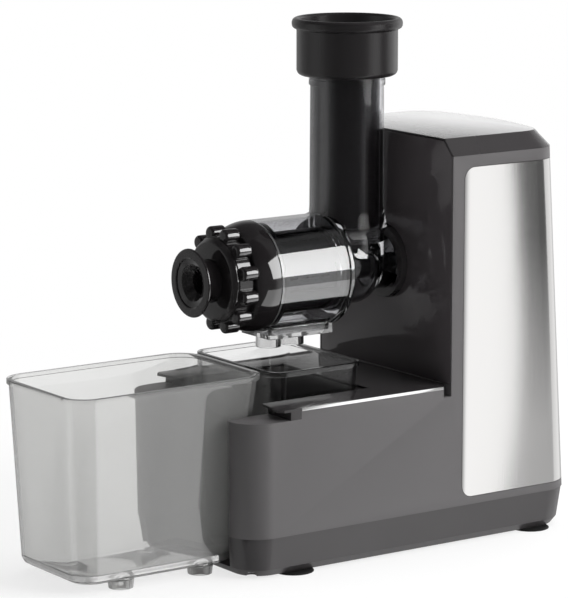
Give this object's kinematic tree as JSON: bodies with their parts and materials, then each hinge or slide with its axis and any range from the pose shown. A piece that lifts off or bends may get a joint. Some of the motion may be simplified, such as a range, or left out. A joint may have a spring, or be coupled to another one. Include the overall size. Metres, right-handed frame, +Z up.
{
  "type": "horizontal slow juicer",
  "caption": "Slow juicer: motor tower on a forked base, geared screw press in a clear drum with chute and pusher, juice and pulp containers.",
  "frame": {"origin": "centre of the overall box on the table the feet stand on", "axes": "+Y from the nozzle end to the back of the tower, +X across to the user's right hand when the tower is seen from behind, +Z up"},
  "size_m": [0.182, 0.468, 0.418],
  "materials": {
    "satin_grey_plastic": "fine satin moulded ABS",
    "gloss_black_plastic": "high gloss moulded ABS",
    "matte_black_plastic": "satin moulded polypropylene",
    "dark_grey_plastic": "fine satin moulded ABS",
    "brushed_stainless": "vertically brushed sheet",
    "chrome_trim": "bright plated strip",
    "black_rubber": "soft moulded rubber",
    "silicone_grey": "moulded silicone",
    "zinc_steel": "zinc plated",
    "gear_plate_steel": "pressed steel plate",
    "bearing_steel": "ground steel",
    "lamination_steel": "stacked sheet, varnished",
    "copper_winding": "varnished copper wire",
    "gear_nylon": "glass filled nylon",
    "screen_steel": "perforated sheet",
    "smoky_clear_plastic": "polished smoky clear SAN",
    "clear_plastic": "polished clear SAN, faint grey"
  },
  "bodies": {
    "root": {"main_housing": "satin_grey_plastic", "top_cover": "satin_grey_plastic", "front_panel": "gloss_black_plastic", "steel_wrap": "brushed_stainless", "deck_plate": "gloss_black_plastic", "deck_trim": "chrome_trim", "bottom_tray": "dark_grey_plastic", "suction_feet": "black_rubber", "tray_screws": "zinc_steel", "drum_socket": "gloss_black_plastic", "gearbox_front_plate": "gear_plate_steel", "gearbox_rear_plate": "gear_plate_steel", "gearbox_posts": "zinc_steel", "gearbox_screws": "zinc_steel", "output_bearings": "bearing_steel", "idler_axle": "bearing_steel", "motor_can": "zinc_steel", "motor_stator": "lamination_steel", "motor_windings": "copper_winding", "motor_bearings": "bearing_steel", "motor_screws": "zinc_steel", "switch_body": "matte_black_plastic", "cord_gland": "black_rubber"},
    "drum": {"drum_body": "smoky_clear_plastic", "outlet_spout": "clear_plastic", "drum_seal": "silicone_grey", "strainer_frame": "matte_black_plastic", "strainer_screen": "screen_steel", "end_cap": "gloss_black_plastic", "end_cap_seal": "silicone_grey"},
    "ring_nut": {"ring_nut": "gloss_black_plastic"},
    "nozzle": {"pulp_nozzle": "gloss_black_plastic", "nozzle_seal": "silicone_grey"},
    "pusher": {"pusher": "matte_black_plastic"},
    "press_screw": {"auger": "matte_black_plastic", "drive_shaft": "bearing_steel", "output_gear": "gear_nylon"},
    "idler": {"idler_gear": "gear_nylon"},
    "rotor": {"rotor_shaft": "bearing_steel", "rotor_core": "lamination_steel", "motor_fan": "gear_nylon"},
    "rocker": {"switch_rocker": "matte_black_plastic"},
    "juice_container": {"juice_container": "clear_plastic"},
    "pulp_container": {"pulp_container": "clear_plastic"}
  },
  "joints": [
    {"name": "press_screw_turn", "type": "hinge", "parent": "root", "child": "press_screw", "pos_m": [0, 0, 0.22], "axis": [0, 1, 0], "continuous": true},
    {"name": "idler_turn", "type": "hinge", "parent": "root", "child": "idler", "pos_m": [0, 0.124, 0.1705], "axis": [0, 1, 0], "continuous": true},
    {"name": "rotor_turn", "type": "hinge", "parent": "root", "child": "rotor", "pos_m": [0, 0.164, 0.1255], "axis": [0, 1, 0], "continuous": true},
    {"name": "drum_turn", "type": "hinge", "parent": "root", "child": "drum", "pos_m": [0, 0.094, 0.22], "axis": [0, 1, 0], "range_deg": [0, 30]},
    {"name": "ring_nut_turn", "type": "hinge", "parent": "drum", "child": "ring_nut", "pos_m": [0, -0.063, 0.22], "axis": [0, 1, 0], "range_deg": [0, 90]},
    {"name": "nozzle_turn", "type": "hinge", "parent": "drum", "child": "nozzle", "pos_m": [0, -0.086, 0.22], "axis": [0, 1, 0], "range_deg": [-90, 90]},
    {"name": "pusher_slide", "type": "slide", "parent": "drum", "child": "pusher", "axis": [0, 0, 1], "range_m": [0, 0.125]},
    {"name": "pulp_container_slide", "type": "slide", "parent": "root", "child": "pulp_container", "axis": [0, -1, 0], "range_m": [0, 0.12]},
    {"name": "juice_container_slide", "type": "slide", "parent": "root", "child": "juice_container", "axis": [0, -1, 0], "range_m": [0, 0.12]},
    {"name": "rocker_tilt", "type": "hinge", "parent": "root", "child": "rocker", "pos_m": [0, 0.22628, 0.075], "axis": [1, 0, 0], "range_deg": [-8, 8]}
  ],
  "couplings": [
    {"joint": "idler_turn", "follows": "press_screw_turn", "ratio": -4.5},
    {"joint": "rotor_turn", "follows": "press_screw_turn", "ratio": 22.5},
    {"joint": "juice_container_slide", "follows": "pulp_container_slide", "ratio": 1}
  ]
}
